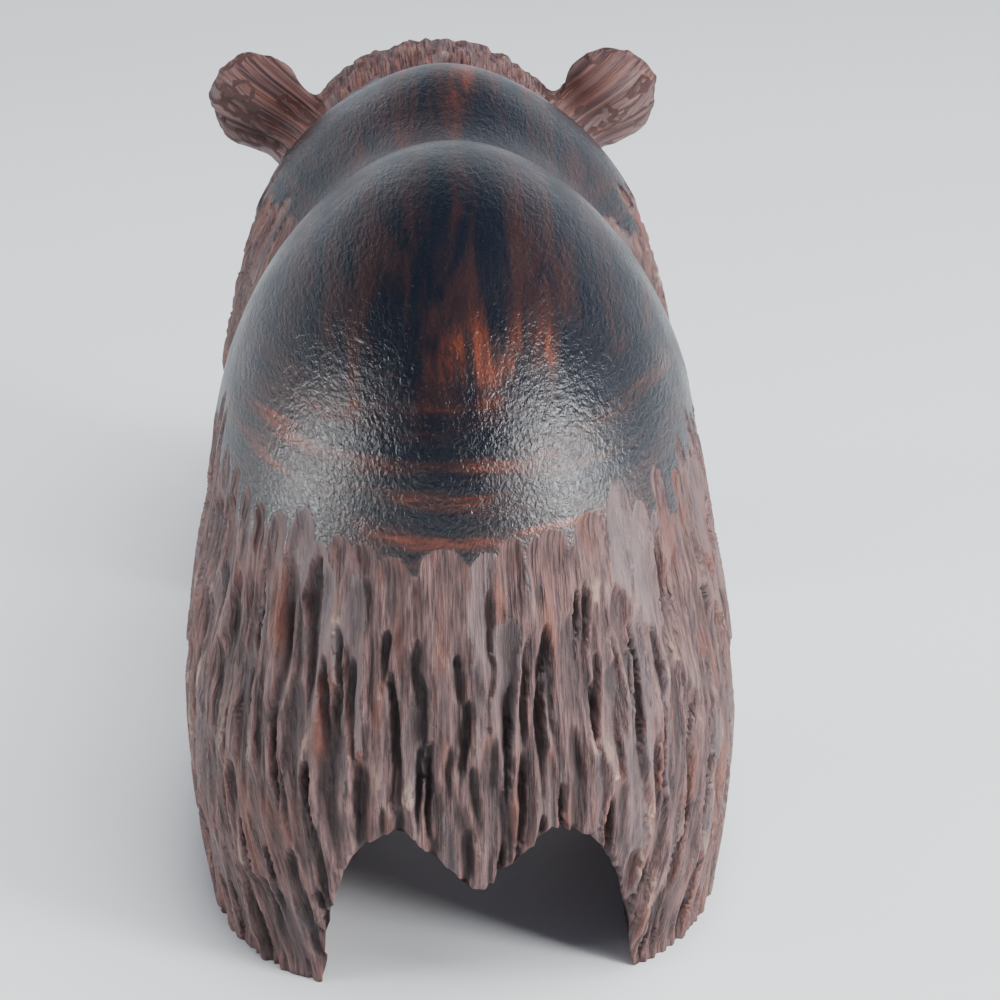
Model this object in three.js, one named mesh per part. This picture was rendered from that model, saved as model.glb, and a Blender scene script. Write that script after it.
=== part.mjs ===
// A standing bear carved from one piece of dark ironwood: polished back, gouge-cut coat.
// Millimetres, +Z up, soles on Z = 0, the face looks along -Y.
import * as THREE from "three";

// Rounded masses of the body, each a centre and three half sizes
const RUMP = { at: [0, 50, 61.7], half: [33.7, 44.5, 42.9], peak: 1.8, soft: 0.2 };
const BARREL = { at: [0, 14, 56], half: [28, 52, 38] };
const SHOULDER = { at: [12.3, -18, 53.3], half: [24, 27, 34.6] };
const HUMP = { at: [0, -17, 66], half: [23.6, 27, 32.3] };
const FORE_PAW = { at: [28, -44.5, 4], half: [8.2, 7.5, 7] };
const HIND_PAW = { at: [29.5, 46, 3.5], half: [7.6, 9, 7] };

// Upright masses that the legs are left from: half sizes of the plan, roundness of its corners
const THIGH = { y: 45, wide: 40, long: 50, round: 2.8, footTaper: 0.05, waist: 0.064, top: 53, edge: 30 };
const FORELEG = { y: -27, wide: 37.3, long: 22, round: 2.5, footTaper: 0.05, waist: 0, top: 56, edge: 24 };
const ANKLE = 26;                    // the legs draw in below this height
const WAIST = { from: 30, over: 30 };
const SWAY = { y: -5, long: 28, by: -1.4 };   // the back bends to one side at the shoulders

// The head
const NECK = { at: [0, -34, 66], half: [26.2, 34, 25] };
const THROAT = { at: [0, -43, 50], half: [19, 13, 17] };
const SKULL = { at: [0, -57.5, 71.9], half: [24.2, 23, 20.8] };
const MUZZLE = { from: [0, -66, 66], to: [0, -85.5, 60.5], thick: 14.5, tip: 9.2 };
const NOSE = { at: [0, -92.5, 64.5], half: [4.6, 3.6, 3.2] };
const CHIN = { at: [0, -82, 54.5], half: [6.5, 9, 4] };
const BROW = { at: [9.5, -72.5, 79], half: [5.5, 6, 3.6] };
const EYE = { at: [11.6, -77.6, 74.6], radius: 2.1 };
const MOUTH = { z: 57.6, rise: 0.16, corner: -78, wide: 2.2, deep: 1.3 };
const EAR = { at: [30.8, -52, 84.1], half: [8.8, 5.6, 8.9] };
const EAR_STALK = { from: [19.5, -50, 71.6], to: [29.3, -52, 82.6], thick: 5.4, tip: 5.2 };
const EAR_BOWL = { at: [31.6, -59, 85], half: [5.4, 4.4, 5.8] };

// What is cut away below: the way between the legs, the round under the belly, the tail left standing
const BETWEEN_LEGS = { x: -0.9, wide: 21.2, narrowing: 0.009, roof: 27, round: 7 };
const BELLY = { y: 12, half: 31, high: 31, round: 8 };
const TAIL = { tip: 16.5, slope: 1.09, inner: 82, thin: 0.9 };

// The coat: overlapping gouge cuts on a path round the body, each size a least and a most
const PATH = { radius: 38, rearY: 52, frontY: -27, frontRadius: 36 };
const EDGE_CUTS = { pitch: 4, rows: 2, rowPitch: 12, wide: [2, 2.9], long: [7, 13], deep: [0.9, 1.7] };
const COAT_CUTS = { pitch: 3.2, rows: 4, rowPitch: 15, wide: [1.6, 2.5], long: [10, 18], deep: [0.8, 1.9] };
const HEAD_CUTS = { pitch: 3.7, rows: 3, rowPitch: 11.5, wide: [1.8, 2.7], long: [7, 11], deep: [0.7, 1.4] };
const HEAD_COAT = { rear: -39, front: -71, radius: 24, axisZ: 66, columns: 18 };
const EAR_CUTS = { count: 7, pitch: 3.1, wide: [1.9, 2.9], long: [5, 9], deep: [0.6, 1.5], reach: 17 };
const COAT_EDGE = { rear: 66.5, spread: 9, border: 9 };
const LEAN = 0.24;                   // the cuts on the thighs lean in towards the heels
const STOP = 0.62;                   // a cut's upper part is shorter, where the gouge was stopped

// How finely the carved surface is followed
const CELL = 1.2;
const BLOCK = { low: [-46.2, -101.4, -0.65], high: [46.2, 104, 109] };
const TRIANGLES = 9600;

const { abs, min, max, sqrt, hypot, atan2, floor, sin, sign, exp, PI } = Math;
const clamp = (v, a, b) => min(b, max(a, v));
const mix = (a, b, t) => a + (b - a) * t;

function ramp(a, b, v) {
  const t = clamp((v - a) / (b - a), 0, 1);
  return t * t * (3 - 2 * t);
}

// A repeatable scatter between 0 and 1.
function chance(n) {
  const v = sin(n * 12.9898 + 4.1414) * 43758.5453;
  return v - floor(v);
}

// Two masses joined with a fillet of size k.
function join(a, b, k) {
  const near = max(k - abs(a - b), 0) / k;
  return min(a, b) - near * near * k / 4;
}

const cut = (a, b, k) => -join(-a, b, k);

function ovoid(x, y, z, { at, half }) {
  const p = hypot((x - at[0]) / half[0], (y - at[1]) / half[1], (z - at[2]) / half[2]);
  const q = hypot((x - at[0]) / half[0] ** 2, (y - at[1]) / half[1] ** 2, (z - at[2]) / half[2] ** 2);
  return p * (p - 1) / (q + 1e-9);
}

// An ovoid whose cross-section is a little peaked, with its peak rounded off.
function peakedOvoid(x, y, z, { at, half, peak, soft }) {
  const u = (x - at[0]) / half[0];
  const v = (y - at[1]) / half[1];
  const w = (z - at[2]) / half[2];
  const across = hypot(u, soft);
  const upward = hypot(w, soft);
  const whole = (1 + soft * soft) ** (peak / 2);
  const sum = (across ** peak + upward ** peak - soft ** peak) / whole;
  const section = sum ** (1 / peak);
  const steep = section * sum ** (1 / peak - 1) / whole;
  const size = hypot(section, v);
  const slopeX = steep * across ** (peak - 2) * u / half[0];
  const slopeZ = steep * upward ** (peak - 2) * w / half[2];
  return size * (size - 1) / (hypot(slopeX, v / half[1], slopeZ) + 1e-9);
}

function taperedRod(x, y, z, { from, to, thick, tip }) {
  const d = to.map((v, i) => v - from[i]);
  const p = [x - from[0], y - from[1], z - from[2]];
  const long2 = d[0] ** 2 + d[1] ** 2 + d[2] ** 2;
  const along = p[0] * d[0] + p[1] * d[1] + p[2] * d[2];
  const beyond = along - long2;
  const taper = thick - tip;
  const side2 = p.reduce((sum, v, i) => sum + (v * long2 - d[i] * along) ** 2, 0);
  const slope2 = long2 - taper * taper;
  const bend = sign(taper) * taper * taper * side2;
  if (sign(beyond) * slope2 * beyond * beyond * long2 > bend) {
    return sqrt(side2 + beyond * beyond * long2) / long2 - tip;
  }
  if (sign(along) * slope2 * along * along * long2 < bend) {
    return sqrt(side2 + along * along * long2) / long2 - thick;
  }
  return (sqrt(side2 * slope2 / long2) + along * taper) / long2 - thick;
}

// An upright mass, its plan a rounded rectangle, drawn in towards the foot and the waist.
function column(x, y, z, shape) {
  const foot = clamp((ANKLE - z) / ANKLE, 0, 1);
  const waist = clamp((z - WAIST.from) / WAIST.over, 0, 1.5);
  const size = 1 - shape.footTaper * foot * foot - shape.waist * waist * waist;
  const u = abs(x) / (shape.wide * size);
  const v = abs(y - shape.y) / (shape.long * size);
  const plan = (u ** shape.round + v ** shape.round) ** (1 / shape.round) - 1;
  return cut(plan * min(shape.wide, shape.long), shape.top - z, shape.edge);
}

function headMass(x, y, z) {
  const q = abs(x);
  let head = join(ovoid(x, y, z, NECK), ovoid(x, y, z, SKULL), 10);
  head = join(head, taperedRod(x, y, z, MUZZLE), 8);
  head = join(head, ovoid(x, y, z, CHIN), 4);
  head = join(head, ovoid(x, y, z, THROAT), 10);
  head = join(head, ovoid(q, y, z, BROW), 4);
  head = join(head, ovoid(x, y, z, NOSE), 2.5);
  const eye = hypot(q - EYE.at[0], y - EYE.at[1], z - EYE.at[2]) - EYE.radius;
  return cut(head, eye, 1);
}

function earMass(x, y, z) {
  const q = abs(x);
  const ear = join(taperedRod(q, y, z, EAR_STALK), ovoid(q, y, z, EAR), 4);
  return cut(ear, ovoid(q, y, z, EAR_BOWL), 2);
}

// The bear before its coat is cut and before it is opened below.
function outerBear(across, y, z) {
  const x = across - SWAY.by * exp(-(((y - SWAY.y) / SWAY.long) ** 2));
  let body = join(peakedOvoid(x, y, z, RUMP), column(x, y, z, THIGH), 20);
  body = join(body, ovoid(x, y, z, BARREL), 10);
  body = join(body, ovoid(abs(x), y, z, SHOULDER), 8);
  body = join(body, ovoid(x, y, z, HUMP), 10);
  body = join(body, column(x, y, z, FORELEG), 12);
  body = join(body, headMass(x, y, z), 10);
  return join(body, earMass(x, y, z), 5);
}

// The openings are cut after the coat, so their walls stay plain and their edges show the gouges.
function openBelow(f, x, y, z) {
  const aside = abs(x - BETWEEN_LEGS.x);
  const wall = aside - BETWEEN_LEGS.wide + BETWEEN_LEGS.narrowing * max(z, 0) ** 2;
  const way = cut(wall, BETWEEN_LEGS.roof - z, BETWEEN_LEGS.round);
  const tailEdge = (TAIL.tip + aside * TAIL.slope - z) / hypot(1, TAIL.slope);
  const tailBack = (TAIL.inner - y + (TAIL.tip - z) * TAIL.thin) / hypot(1, TAIL.thin);
  const opening = max(way, -max(tailEdge, tailBack));
  const belly = (hypot((y - BELLY.y) / BELLY.half, z / BELLY.high) - 1) * BELLY.high;
  const body = cut(cut(f, opening, 1), belly, BELLY.round);
  const q = abs(x);
  return join(body, min(ovoid(q, y, z, FORE_PAW), ovoid(q, y, z, HIND_PAW)), 6);
}

// The path runs along the flanks and round both ends: zero at the middle of the rump, + on the left.
const QUARTER = PATH.radius * PI / 2;
const FLANK = QUARTER + PATH.rearY - PATH.frontY;
const HALF_PATH = FLANK + PATH.frontRadius * PI / 2;

function pathAt(x, y) {
  if (y > PATH.rearY) return PATH.radius * atan2(x, y - PATH.rearY);
  const side = x < 0 ? -1 : 1;
  if (y > PATH.frontY) return side * (QUARTER + PATH.rearY - y);
  return side * (HALF_PATH - PATH.frontRadius * atan2(abs(x), PATH.frontY - y));
}

// Height of the edge between the polished back and the coat: it rises from the rump to the neck.
function coatEdge(s) {
  const a = abs(s);
  return COAT_EDGE.rear + 6 * ramp(26, 52, a) + 4 * ramp(60, 100, a) + 4 * ramp(110, 135, a)
    + 9 * ramp(136, 160, a);
}

function bodyCuts() {
  const list = [];
  [EDGE_CUTS, COAT_CUTS].forEach((set, layer) => {
    const columns = floor(HALF_PATH / set.pitch);
    for (let i = -columns; i <= columns; i++) {
      for (let j = 0; j < set.rows; j++) {
        const n = (i + 100) * 11 + j * 3001 + layer * 40009;
        const pick = (k, [least, most]) => mix(least, most, chance(n + k));
        const s = (i + (chance(n) - 0.5) * 0.6) * set.pitch;
        const long = pick(1, set.long);
        const top = coatEdge(s) + (chance(n + 2) - 0.6) * COAT_EDGE.spread - layer * COAT_EDGE.border;
        const row = j + (j ? (chance(n + 3) - 0.5) * 0.8 : 0);
        const at = top - long * STOP - row * set.rowPitch;
        const low = 1 - ramp(14, 50, at);
        const onThigh = ramp(12, 30, abs(s)) * (1 - ramp(66, 88, abs(s)));
        const lean = sign(s) * LEAN * low * onThigh + (chance(n + 4) - 0.5) * 0.1;
        list.push({ s, at, long, lean, wide: pick(5, set.wide), deep: pick(6, set.deep) });
      }
    }
  });
  return list;
}

// On the head the cuts run from the neck towards the muzzle, which stays smooth.
function headCuts() {
  const list = [];
  for (let i = -HEAD_COAT.columns; i <= HEAD_COAT.columns; i++) {
    for (let j = 0; j < HEAD_CUTS.rows; j++) {
      const n = (i + 300) * 17 + j * 5003;
      const pick = (k, [least, most]) => mix(least, most, chance(n + k));
      const s = (i + (chance(n) - 0.5) * 0.6) * HEAD_CUTS.pitch;
      const long = pick(1, HEAD_CUTS.long);
      const at = HEAD_COAT.rear + (chance(n + 2) - 0.5) * 5 - long * STOP - j * HEAD_CUTS.rowPitch;
      const lean = (chance(n + 4) - 0.5) * 0.16;
      list.push({ s, at, long, lean, wide: pick(5, HEAD_CUTS.wide), deep: pick(6, HEAD_CUTS.deep) });
    }
  }
  return list;
}

// The deepest cut at a place: hollow across, steep where the gouge stopped, running out at the end.
function depthOf(cuts) {
  const BIN = 4;
  const bins = new Map();
  cuts.forEach((c) => {
    const spread = c.wide + abs(c.lean) * c.long;
    for (let b = floor((c.s - spread) / BIN); b <= floor((c.s + spread) / BIN); b++) {
      if (!bins.has(b)) bins.set(b, []);
      bins.get(b).push(c);
    }
  });
  return (s, v) => {
    let deepest = 0;
    for (const c of bins.get(floor(s / BIN)) ?? []) {
      const along = v - c.at;
      const run = along > 0 ? along / (c.long * STOP) : -along / c.long;
      const across = abs(s - c.s - c.lean * along) / c.wide;
      if (run < 1 && across < 1) {
        const ending = along > 0 ? 1 - run ** 6 : 1 - run * run;
        deepest = max(deepest, c.deep * (1 - across * across) * ending);
      }
    }
    return deepest;
  };
}

const bodyDepth = depthOf(bodyCuts());
const headDepth = depthOf(headCuts());

// The ears are faceted back and front by a few cuts along their length.
function earDepth(x, y, z) {
  const out = abs(x) - EAR.at[0];
  const up = z - EAR.at[2];
  const reach = hypot(out, y - EAR.at[1], up);
  if (z < 68 || abs(x) < 22 || reach > EAR_CUTS.reach) return 0;
  const first = (x < 0 ? 37 : 11) + (y < EAR.at[1] ? 50 : 0);
  const along = (out + up) * Math.SQRT1_2;
  const across = (out - up) * Math.SQRT1_2;
  let deepest = 0;
  for (let i = 0; i < EAR_CUTS.count; i++) {
    const n = first + i * 7;
    const line = (i - (EAR_CUTS.count - 1) / 2) * EAR_CUTS.pitch + (chance(n) - 0.5) * 2;
    const a = (across - line) / mix(...EAR_CUTS.wide, chance(n + 1));
    const b = (along - mix(-7, 4, chance(n + 2))) / mix(...EAR_CUTS.long, chance(n + 3));
    if (abs(a) < 1 && abs(b) < 1) {
      deepest = max(deepest, mix(...EAR_CUTS.deep, chance(n + 4)) * (1 - a * a) * (1 - b * b));
    }
  }
  return deepest * (1 - ramp(EAR_CUTS.reach - 5, EAR_CUTS.reach, reach));
}

function coatDepth(x, y, z) {
  const onHead = ramp(-33, -41, y) * ramp(50, 60, z + (y + 45) * 0.3);
  const behindFace = 1 - ramp(HEAD_COAT.front + 6, HEAD_COAT.front - 3, y);
  let deep = earDepth(x, y, z);
  if (onHead < 1) deep = max(deep, bodyDepth(pathAt(x, y), z) * (1 - onHead));
  if (onHead > 0) {
    const round = HEAD_COAT.radius * atan2(x, z - HEAD_COAT.axisZ);
    deep = max(deep, headDepth(round, y) * onHead * behindFace);
  }
  return deep * ramp(-3, 3, z);
}

function lipDepth(y, z) {
  const across = (z - MOUTH.z - (MOUTH.corner - y) * MOUTH.rise) * 2 / MOUTH.wide;
  if (y > MOUTH.corner || abs(across) > 1) return 0;
  return MOUTH.deep * (1 - across * across) * ramp(MOUTH.corner, MOUTH.corner - 3, y);
}

// Below zero inside the wood, above zero outside, about the distance in millimetres.
function carvedBear(x, y, z) {
  const outer = outerBear(x, y, z);
  if (outer > 4) return outer;
  const coated = outer > -4 ? outer + lipDepth(y, z) + coatDepth(x, y, z) : outer;
  return max(openBelow(coated, x, y, z), -z);
}

const minus = (p, q) => [p[0] - q[0], p[1] - q[1], p[2] - q[2]];
const dot = (p, q) => p[0] * q[0] + p[1] * q[1] + p[2] * q[2];
const cross = (p, q) => [p[1] * q[2] - p[2] * q[1], p[2] * q[0] - p[0] * q[2], p[0] * q[1] - p[1] * q[0]];
const length = (p) => hypot(p[0], p[1], p[2]);
const faceNormal = (p, q, r) => cross(minus(q, p), minus(r, p));

// The carved surface, followed cell by cell. Each cell is split into six tetrahedra from corner
// to corner, so the skin is closed everywhere.
const CORNERS = [[0, 0, 0], [1, 0, 0], [0, 1, 0], [1, 1, 0], [0, 0, 1], [1, 0, 1], [0, 1, 1], [1, 1, 1]];
const TETRAHEDRA = [[0, 1, 3, 7], [0, 3, 2, 7], [0, 2, 6, 7], [0, 6, 4, 7], [0, 4, 5, 7], [0, 5, 1, 7]];
const ON_FLOOR = 0.3;

function followSurface() {
  const [nx, ny, nz] = BLOCK.low.map((low, i) => Math.ceil((BLOCK.high[i] - low) / CELL) + 1);
  const index = (i, j, k) => (k * ny + j) * nx + i;
  const place = (i, j, k) => [i, j, k].map((step, axis) => BLOCK.low[axis] + step * CELL);
  const value = new Float32Array(nx * ny * nz);
  const points = [];
  const faces = [];
  const known = new Map();

  const crossing = (a, b) => {
    const key = a.id < b.id ? a.id * value.length + b.id : b.id * value.length + a.id;
    if (!known.has(key)) {
      const t = clamp(value[a.id] / (value[a.id] - value[b.id]), 0.02, 0.98);
      const point = a.at.map((v, i) => mix(v, b.at[i], t));
      if (point[2] < ON_FLOOR) point[2] = 0;
      points.push(point);
      known.set(key, points.length - 1);
    }
    return known.get(key);
  };

  const put = (a, b, c, outside, inside) => {
    const normal = faceNormal(points[a], points[b], points[c]);
    const outward = dot(normal, minus(outside.at, inside.at)) > 0;
    faces.push(outward ? [a, b, c] : [a, c, b]);
  };

  const followTetrahedron = (tetrahedron) => {
    const inner = tetrahedron.filter((c) => value[c.id] < 0);
    const outer = tetrahedron.filter((c) => value[c.id] >= 0);
    if (inner.length === 1) {
      put(...outer.map((c) => crossing(inner[0], c)), outer[0], inner[0]);
    } else if (inner.length === 3) {
      put(...inner.map((c) => crossing(c, outer[0])), outer[0], inner[0]);
    } else if (inner.length === 2) {
      const [a, b] = outer.map((c) => crossing(inner[0], c));
      const [d, c] = outer.map((o) => crossing(inner[1], o));
      put(a, b, c, outer[0], inner[0]);
      put(a, c, d, outer[0], inner[0]);
    }
  };

  for (let k = 0; k < nz; k++) {
    for (let j = 0; j < ny; j++) {
      for (let i = 0; i < nx; i++) value[index(i, j, k)] = carvedBear(...place(i, j, k));
    }
  }
  for (let k = 0; k < nz - 1; k++) {
    for (let j = 0; j < ny - 1; j++) {
      for (let i = 0; i < nx - 1; i++) {
        const ids = CORNERS.map(([a, b, c]) => index(i + a, j + b, k + c));
        const insides = ids.filter((id) => value[id] < 0).length;
        if (insides === 0 || insides === 8) continue;
        const cell = CORNERS.map(([a, b, c], m) => ({ id: ids[m], at: place(i + a, j + b, k + c) }));
        TETRAHEDRA.forEach((t) => followTetrahedron(t.map((c) => cell[c])));
      }
    }
  }
  return { points, faces };
}

// A queue that gives back the item of least cost.
function makeQueue() {
  const heap = [];
  const swap = (a, b) => {
    const item = heap[a];
    heap[a] = heap[b];
    heap[b] = item;
  };
  const push = (item) => {
    let i = heap.push(item) - 1;
    while (i > 0 && heap[i].cost < heap[(i - 1) >> 1].cost) {
      swap(i, (i - 1) >> 1);
      i = (i - 1) >> 1;
    }
  };
  const sink = (i) => {
    const [left, right] = [2 * i + 1, 2 * i + 2];
    let least = i;
    if (left < heap.length && heap[left].cost < heap[least].cost) least = left;
    if (right < heap.length && heap[right].cost < heap[least].cost) least = right;
    if (least === i) return;
    swap(i, least);
    sink(least);
  };
  const pop = () => {
    swap(0, heap.length - 1);
    const item = heap.pop();
    sink(0);
    return item;
  };
  return { push, pop, size: () => heap.length };
}

// Squared distance to a set of planes, kept as the ten terms of its quadratic form.
function planeTerms(face, points) {
  const normal = faceNormal(...face.map((v) => points[v]));
  const size = length(normal) || 1e-12;
  const [a, b, c] = normal.map((v) => v / size);
  const d = -dot([a, b, c], points[face[0]]);
  return [a * a, a * b, a * c, a * d, b * b, b * c, b * d, c * c, c * d, d * d].map((v) => v * size / 2);
}

function distanceTo(terms, [x, y, z]) {
  const [aa, ab, ac, ad, bb, bc, bd, cc, cd, dd] = terms;
  return x * (aa * x + 2 * (ab * y + ac * z + ad)) + y * (bb * y + 2 * (bc * z + bd))
    + z * (cc * z + 2 * cd) + dd;
}

function nearestPoint([aa, ab, ac, ad, bb, bc, bd, cc, cd]) {
  const rows = [[aa, ab, ac], [ab, bb, bc], [ac, bc, cc]];
  const det = dot(rows[0], cross(rows[1], rows[2]));
  if (abs(det) < 1e-7) return null;
  const right = [-ad, -bd, -cd];
  return [
    dot(right, cross(rows[1], rows[2])) / det,
    dot(rows[0], cross(right, rows[2])) / det,
    dot(rows[0], cross(rows[1], right)) / det,
  ];
}

// Fewer, longer triangles: the edges whose loss shows least are closed first. Points on the floor
// stay on it, so the soles stay flat.
const SHORT_EDGE = 0.5;
const LEAST_THINNESS = 0.06;
const MOST_NEIGHBOURS = 22;

function simplify({ points, faces }, target) {
  const terms = points.map(() => new Float64Array(10));
  const touching = points.map(() => new Set());
  const stamp = new Int32Array(points.length);
  const queue = makeQueue();
  let left = faces.length;

  faces.forEach((face, i) => {
    const plane = planeTerms(face, points);
    face.forEach((v) => {
      touching[v].add(i);
      plane.forEach((term, m) => { terms[v][m] += term; });
    });
  });

  const neighbours = (v) => {
    const found = new Set();
    for (const f of touching[v]) faces[f].forEach((w) => found.add(w));
    found.delete(v);
    return found;
  };

  const meetingPoint = (u, v, sum) => {
    const [p, q] = [points[u], points[v]];
    if ((p[2] === 0) !== (q[2] === 0)) return p[2] === 0 ? p : q;
    const best = p[2] === 0 ? null : nearestPoint(sum);
    if (best && best[2] > 0.02 && length(minus(best, p)) < 1.5 * length(minus(p, q))) return best;
    const choices = [p, q, p.map((c, i) => (c + q[i]) / 2)];
    return choices.sort((a, b) => distanceTo(sum, a) - distanceTo(sum, b))[0];
  };

  const offer = (u, v) => {
    const sum = terms[u].map((term, m) => term + terms[v][m]);
    const to = meetingPoint(u, v, sum);
    const apart = length(minus(points[u], points[v]));
    const cost = max(distanceTo(sum, to), 0) + apart * apart * 2e-4;
    queue.push({ u, v, to, cost, stamps: [stamp[u], stamp[v]] });
  };

  const thinness = ([p, q, r]) => {
    const longest = max(length(minus(p, q)), length(minus(q, r)), length(minus(r, p)));
    return length(faceNormal(p, q, r)) / (longest * longest);
  };

  // A triangle may not turn over, and may not become a sliver.
  const keepsShape = (v, other, to, short) => [...touching[v]].every((f) => {
    if (faces[f].includes(other)) return true;
    const before = faces[f].map((w) => points[w]);
    const after = faces[f].map((w) => (w === v ? to : points[w]));
    const [n, m] = [faceNormal(...before), faceNormal(...after)];
    if (length(m) < 1e-5) return false;
    if (length(n) > 0.02 && dot(n, m) < 0.25 * length(n) * length(m)) return false;
    return short || thinness(after) > LEAST_THINNESS || thinness(after) > thinness(before);
  });

  const mayClose = ({ u, v, to }) => {
    const [nearU, nearV] = [neighbours(u), neighbours(v)];
    const shared = [...nearU].filter((w) => nearV.has(w)).length;
    if (shared !== 2 || nearU.size + nearV.size > MOST_NEIGHBOURS) return false;
    const short = length(minus(points[u], points[v])) < SHORT_EDGE;
    return keepsShape(u, v, to, short) && keepsShape(v, u, to, short);
  };

  const close = ({ u, v, to }) => {
    points[u] = [...to];
    terms[v].forEach((term, m) => { terms[u][m] += term; });
    for (const f of [...touching[v]]) {
      if (faces[f].includes(u)) {
        faces[f].forEach((w) => touching[w].delete(f));
        faces[f] = null;
        left--;
      } else {
        faces[f][faces[f].indexOf(v)] = u;
        touching[u].add(f);
      }
    }
    touching[v].clear();
    stamp[v] = -1;
    stamp[u]++;
    neighbours(u).forEach((w) => offer(u, w));
  };

  const offerAll = () => points.forEach((_, v) => neighbours(v).forEach((w) => { if (v < w) offer(v, w); }));
  let before = Infinity;
  while (left > target) {
    if (!queue.size()) {
      if (left === before) break;
      before = left;
      offerAll();
    }
    const edge = queue.pop();
    const current = stamp[edge.u] === edge.stamps[0] && stamp[edge.v] === edge.stamps[1];
    if (current && mayClose(edge)) close(edge);
  }

  const renamed = new Map();
  const kept = faces.filter((face) => face);
  kept.flat().forEach((v) => { if (!renamed.has(v)) renamed.set(v, renamed.size); });
  return {
    points: [...renamed.keys()].map((v) => points[v]),
    faces: kept.map((face) => face.map((v) => renamed.get(v))),
  };
}

function carveGeometry() {
  const skin = simplify(followSurface(), TRIANGLES);
  const positions = skin.points.flat();
  const geometry = new THREE.BufferGeometry();
  geometry.setAttribute("position", new THREE.Float32BufferAttribute(positions, 3));
  geometry.setIndex(skin.faces.flat());
  geometry.computeVertexNormals();
  return geometry;
}

const ironwood = new THREE.MeshStandardMaterial({ name: "ironwood", color: 0x4a2a22, roughness: 0.55 });
const bear = new THREE.Mesh(carveGeometry(), ironwood);
bear.name = "bear";

const figure = new THREE.Group();
figure.name = "carved_wooden_bear";
figure.add(bear);
export default figure;
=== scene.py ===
"""A standing bear carved from one piece of dark ironwood: polished back, gouge-cut coat.

The form is worked out in millimetres, +Z up, the face along -Y, and made in metres.
"""
import math

import bpy
import numpy as np
from mathutils import Matrix, Vector


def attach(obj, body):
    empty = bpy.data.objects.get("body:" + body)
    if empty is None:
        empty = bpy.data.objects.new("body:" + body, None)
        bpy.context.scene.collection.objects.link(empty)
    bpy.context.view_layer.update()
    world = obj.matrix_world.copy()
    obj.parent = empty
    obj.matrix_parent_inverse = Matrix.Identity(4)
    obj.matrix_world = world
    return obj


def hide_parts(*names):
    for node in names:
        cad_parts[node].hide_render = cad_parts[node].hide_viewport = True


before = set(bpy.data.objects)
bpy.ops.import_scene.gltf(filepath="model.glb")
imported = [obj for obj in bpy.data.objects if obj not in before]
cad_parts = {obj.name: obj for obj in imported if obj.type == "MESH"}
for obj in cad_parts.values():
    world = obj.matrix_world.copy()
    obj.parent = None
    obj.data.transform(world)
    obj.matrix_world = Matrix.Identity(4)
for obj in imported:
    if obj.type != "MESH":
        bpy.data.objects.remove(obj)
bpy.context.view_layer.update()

bl_info = {
    "name": "Carved Wooden Bear",
    "version": (1, 0, 0),
    "blender": (4, 5, 0),
    "location": "View3D > Sidebar > Bear",
    "description": "Carves an ironwood bear over its packed solid and stands it on a pale floor",
    "category": "Object",
}

MM = 0.001

# Rounded masses of the body, each a centre and three half sizes
RUMP = dict(at=(0, 50, 61.7), half=(33.7, 44.5, 42.9), peak=1.8, soft=0.2)
BARREL = dict(at=(0, 14, 56), half=(28, 52, 38))
SHOULDER = dict(at=(12.3, -18, 53.3), half=(24, 27, 34.6))
HUMP = dict(at=(0, -17, 66), half=(23.6, 27, 32.3))
FORE_PAW = dict(at=(28, -44.5, 4), half=(8.2, 7.5, 7))
HIND_PAW = dict(at=(29.5, 46, 3.5), half=(7.6, 9, 7))

# Upright masses that the legs are left from
THIGH = dict(y=45, wide=40, long=50, round=2.8, foot_taper=0.05, waist=0.064, top=53, edge=30)
FORELEG = dict(y=-27, wide=37.3, long=22, round=2.5, foot_taper=0.05, waist=0, top=56, edge=24)
ANKLE = 26
WAIST_FROM, WAIST_OVER = 30, 30
SWAY_Y, SWAY_LONG, SWAY_BY = -5, 28, -1.4

# The head
NECK = dict(at=(0, -34, 66), half=(26.2, 34, 25))
THROAT = dict(at=(0, -43, 50), half=(19, 13, 17))
SKULL = dict(at=(0, -57.5, 71.9), half=(24.2, 23, 20.8))
MUZZLE = dict(start=(0, -66, 66), end=(0, -85.5, 60.5), thick=14.5, tip=9.2)
NOSE = dict(at=(0, -92.5, 64.5), half=(4.6, 3.6, 3.2))
CHIN = dict(at=(0, -82, 54.5), half=(6.5, 9, 4))
BROW = dict(at=(9.5, -72.5, 79), half=(5.5, 6, 3.6))
EYE_AT, EYE_RADIUS = (11.6, -77.6, 74.6), 2.1
MOUTH_Z, MOUTH_RISE, MOUTH_CORNER, MOUTH_WIDE, MOUTH_DEEP = 57.6, 0.16, -78, 2.2, 1.3
EAR = dict(at=(30.8, -52, 84.1), half=(8.8, 5.6, 8.9))
EAR_STALK = dict(start=(19.5, -50, 71.6), end=(29.3, -52, 82.6), thick=5.4, tip=5.2)
EAR_BOWL = dict(at=(31.6, -59, 85), half=(5.4, 4.4, 5.8))

# What is cut away below
WAY_X, WAY_WIDE, WAY_NARROWING, WAY_ROOF, WAY_ROUND = -0.9, 21.2, 0.009, 27, 7
BELLY_Y, BELLY_HALF, BELLY_HIGH, BELLY_ROUND = 12, 31, 31, 8
TAIL_TIP, TAIL_SLOPE, TAIL_INNER, TAIL_THIN = 16.5, 1.09, 82, 0.9

# The path round the body that the coat's cuts are laid out on
PATH_RADIUS, PATH_REAR, PATH_FRONT, PATH_FRONT_RADIUS = 38, 52, -27, 36
QUARTER = PATH_RADIUS * math.pi / 2
HALF_PATH = QUARTER + PATH_REAR - PATH_FRONT + PATH_FRONT_RADIUS * math.pi / 2
HEAD_REAR, HEAD_FRONT, HEAD_RADIUS, HEAD_AXIS_Z = -39, -71, 24, 66
COAT_HEIGHT, DEEPEST = 66.5, 3.3
LEAN = 0.24
STOP = 0.62

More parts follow.
